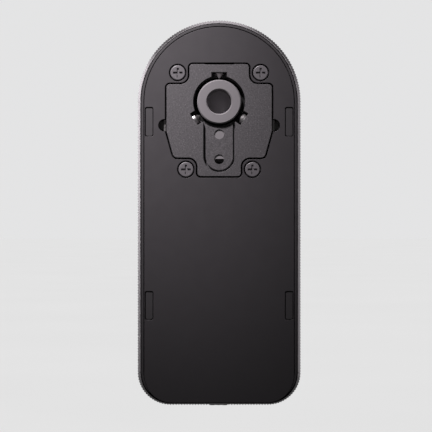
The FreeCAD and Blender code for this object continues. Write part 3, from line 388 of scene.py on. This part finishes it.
def slot_materials():
    """One finished material for each of the record's slots."""
    return {
        "cover": cover_material(),
        "plate": plate_material(),
        "spigot": spigot_material(),
        "band": band_material(),
        "shell": shell_material(),
        "chassis": chassis_material(),
        "screw_dark": coated_screw_material(),
        "screw_bright": bright_metal("screw_bright", (0.36, 0.35, 0.35), 0.44),
        "spring_steel": bright_metal("spring_steel", (0.3, 0.29, 0.29), 0.36, 2000.0, (1.0, 0.2, 1.0)),
        "rubber": rubber_with_painted_light(),
        "seal": seal_material(),
        "lock_metal": bright_metal("lock_metal", (0.34, 0.33, 0.33), 0.3),
        "battery": battery_material(),
        "contacts": bright_metal("contacts", (0.83, 0.58, 0.22), 0.22),
        "inner_plastic": moulded("inner_plastic", (0.014, 0.014, 0.015), 0.55),
        "front": front_material(),
        "window": glass_material("window", (0.012, 0.012, 0.014), 0.38),
        "lens_glass": glass_material("lens_glass", (0.10, 0.13, 0.30), 0.55),
        "filter_glass": glass_material("filter_glass", (0.1, 0.3, 0.35), 0.5),
        "board": board_material(),
        "chip": moulded("chip", (0.012, 0.012, 0.012), 0.42, grain=7000.0),
        "tin": bright_metal("tin", (0.5, 0.5, 0.51), 0.32),
        "copper": copper_material(),
        "flex": flex_material(),
        "led": glass_material("led", (0.1, 0.09, 0.12), 0.8, 0.1),
        "pir_white": moulded("pir_white", (0.016, 0.016, 0.018), 0.3, grain=1800.0, depth=0.02),
        "cone": woven_material("cone", (0.02, 0.02, 0.02), 700.0),
        "mesh": woven_material("mesh", (0.03, 0.03, 0.03), 900.0),
        "button": button_material(),
        "light_ring": light_ring_material(),
    }


def finish_nodes():
    """Gives every CAD node its slot's material."""
    made = slot_materials()
    for subpart in frame["record"]["subparts"]:
        mesh = NODES[subpart["node"]].data
        mesh.materials.clear()
        mesh.materials.append(made[subpart["material_slot"]])


# ---------------------------------------------------------------- studio


def floor_material():
    """A pale matte floor that sends little light back up at the object.

    It is pale to camera rays and dim to all others, and clear when seen from below.
    """
    shader = Shader("studio_floor", FLOOR_COLOR, 1.0, specular=0.0)
    cloud = shader.noise(3.0, 2.0)
    pale = shader.mixed(cloud, shade(FLOOR_COLOR, 0.98), shade(FLOOR_COLOR, 1.02))
    shader.link(pale, "Base Color")
    quiet = shader.node("ShaderNodeBsdfDiffuse")
    quiet.inputs["Color"].default_value = (*shade(FLOOR_COLOR, FLOOR_BOUNCE), 1)
    path = shader.node("ShaderNodeLightPath")
    mix = shader.node("ShaderNodeMixShader", Fac=path.outputs["Is Camera Ray"])
    shader.tree.links.new(quiet.outputs["BSDF"], mix.inputs[1])
    shader.tree.links.new(shader.bsdf.outputs["BSDF"], mix.inputs[2])
    clear = shader.node("ShaderNodeBsdfTransparent")
    side = shader.node("ShaderNodeNewGeometry")
    seen = shader.node("ShaderNodeMixShader", Fac=side.outputs["Backfacing"])
    shader.tree.links.new(mix.outputs["Shader"], seen.inputs[1])
    shader.tree.links.new(clear.outputs["BSDF"], seen.inputs[2])
    surface = shader.tree.nodes["Material Output"].inputs["Surface"]
    shader.tree.links.new(seen.outputs["Shader"], surface)
    return shader.material


def linked(name, objects, state):
    """A lamp's receivers: only these objects (INCLUDE), or all but these (EXCLUDE)."""
    collection = bpy.data.collections.new(name)
    for member in objects:
        collection.objects.link(member)
    for entry in collection.collection_objects:
        entry.light_linking.link_state = state
    return collection


def add_floor():
    """The floor, with a soft sun of its own."""
    bpy.ops.mesh.primitive_circle_add(
        vertices=96, radius=FLOOR_RADIUS, fill_type="NGON", location=(0, 0, FLOOR_Z)
    )
    floor = bpy.context.object
    floor.name = "studio_floor"
    floor.data.materials.append(floor_material())
    sun = bpy.data.lights.new("floor_sun", "SUN")
    sun.energy = FLOOR_SUN
    sun.angle = math.radians(FLOOR_SUN_ANGLE)
    holder = bpy.data.objects.new("floor_sun", sun)
    holder.rotation_euler = (*(math.radians(tilt) for tilt in FLOOR_SUN_TILT), 0)
    holder.light_linking.receiver_collection = linked("only_floor", [floor], "INCLUDE")
    bpy.context.scene.collection.objects.link(holder)
    return floor


def add_background():
    """A pale room: bright to the camera, dim as a light on the object."""
    world = bpy.data.worlds.new("studio")
    bpy.context.scene.world = world
    world.use_nodes = True
    nodes = world.node_tree.nodes
    nodes.clear()
    output = nodes.new("ShaderNodeOutputWorld")
    shown = nodes.new("ShaderNodeBackground")
    shown.inputs["Color"].default_value = (*BACKGROUND, 1)
    lighting = nodes.new("ShaderNodeBackground")
    lighting.inputs["Color"].default_value = (*ROOM_COLOR, 1)
    lighting.inputs["Strength"].default_value = ROOM_LIGHT
    path = nodes.new("ShaderNodeLightPath")
    mix = nodes.new("ShaderNodeMixShader")
    links = world.node_tree.links
    links.new(path.outputs["Is Camera Ray"], mix.inputs["Fac"])
    links.new(lighting.outputs["Background"], mix.inputs[1])
    links.new(shown.outputs["Background"], mix.inputs[2])
    links.new(mix.outputs["Shader"], output.inputs["Surface"])


def add_lamp(name, light, place, aim, power, lit):
    """Places a lamp that faces the point it is aimed at, isn't seen itself, and lights `lit`."""
    light.energy = power
    light.color = LAMP_COLOR
    lamp = bpy.data.objects.new(name, light)
    lamp.location = place
    lamp.rotation_euler = (Vector(aim) - Vector(place)).to_track_quat("-Z", "Y").to_euler()
    lamp.visible_camera = False
    lamp.light_linking.receiver_collection = lit
    bpy.context.scene.collection.objects.link(lamp)


def soft_spot(name, cone, radius):
    light = bpy.data.lights.new(name, "SPOT")
    light.spot_size = math.radians(cone)
    light.spot_blend = 1.0
    light.shadow_soft_size = radius
    return light


def add_softboxes(rows, lit):
    """Adds the softboxes of a table, all aimed at the middle of the housing."""
    for name, width, height, place, power in rows:
        light = bpy.data.lights.new(name, "AREA")
        light.shape = "RECTANGLE"
        light.size = width
        light.size_y = height
        add_lamp(name, light, place, LAMP_AIM, power, lit)


def add_lights(floor):
    """The key's pool is centred off the upper left corner, so the rear darkens down and right.

    Strong lamps shape the near-black covers. The bright metal band has softer lamps of its own.
    """
    band = [NODES[name] for name in BAND_NODES]
    dark = linked("all_but_band", [floor] + band, "EXCLUDE")
    bright = linked("only_band", band, "INCLUDE")
    add_lamp("key", soft_spot("key", KEY_CONE, KEY_RADIUS), KEY_PLACE, KEY_AIM, KEY_POWER, dark)
    add_softboxes(FRONT_SOFTBOXES, dark)
    add_softboxes(BAND_SOFTBOXES, bright)


def add_camera():
    camera = bpy.data.cameras.new("camera")
    camera.sensor_width = SENSOR_WIDTH
    camera.lens = SENSOR_WIDTH * CAMERA_DISTANCE / VIEW_WIDTH
    camera.clip_start = 0.01
    camera.clip_end = 20.0
    holder = bpy.data.objects.new("camera", camera)
    holder.location = (VIEW_CENTRE_X, CAMERA_DISTANCE, VIEW_CENTRE_Z)
    holder.rotation_euler = (math.radians(90), 0, math.radians(180))
    bpy.context.scene.collection.objects.link(holder)
    bpy.context.scene.camera = holder


bpy.context.scene.view_settings.view_transform = "Standard"
add_camera()
add_background()
add_lights(add_floor())
finish_nodes()
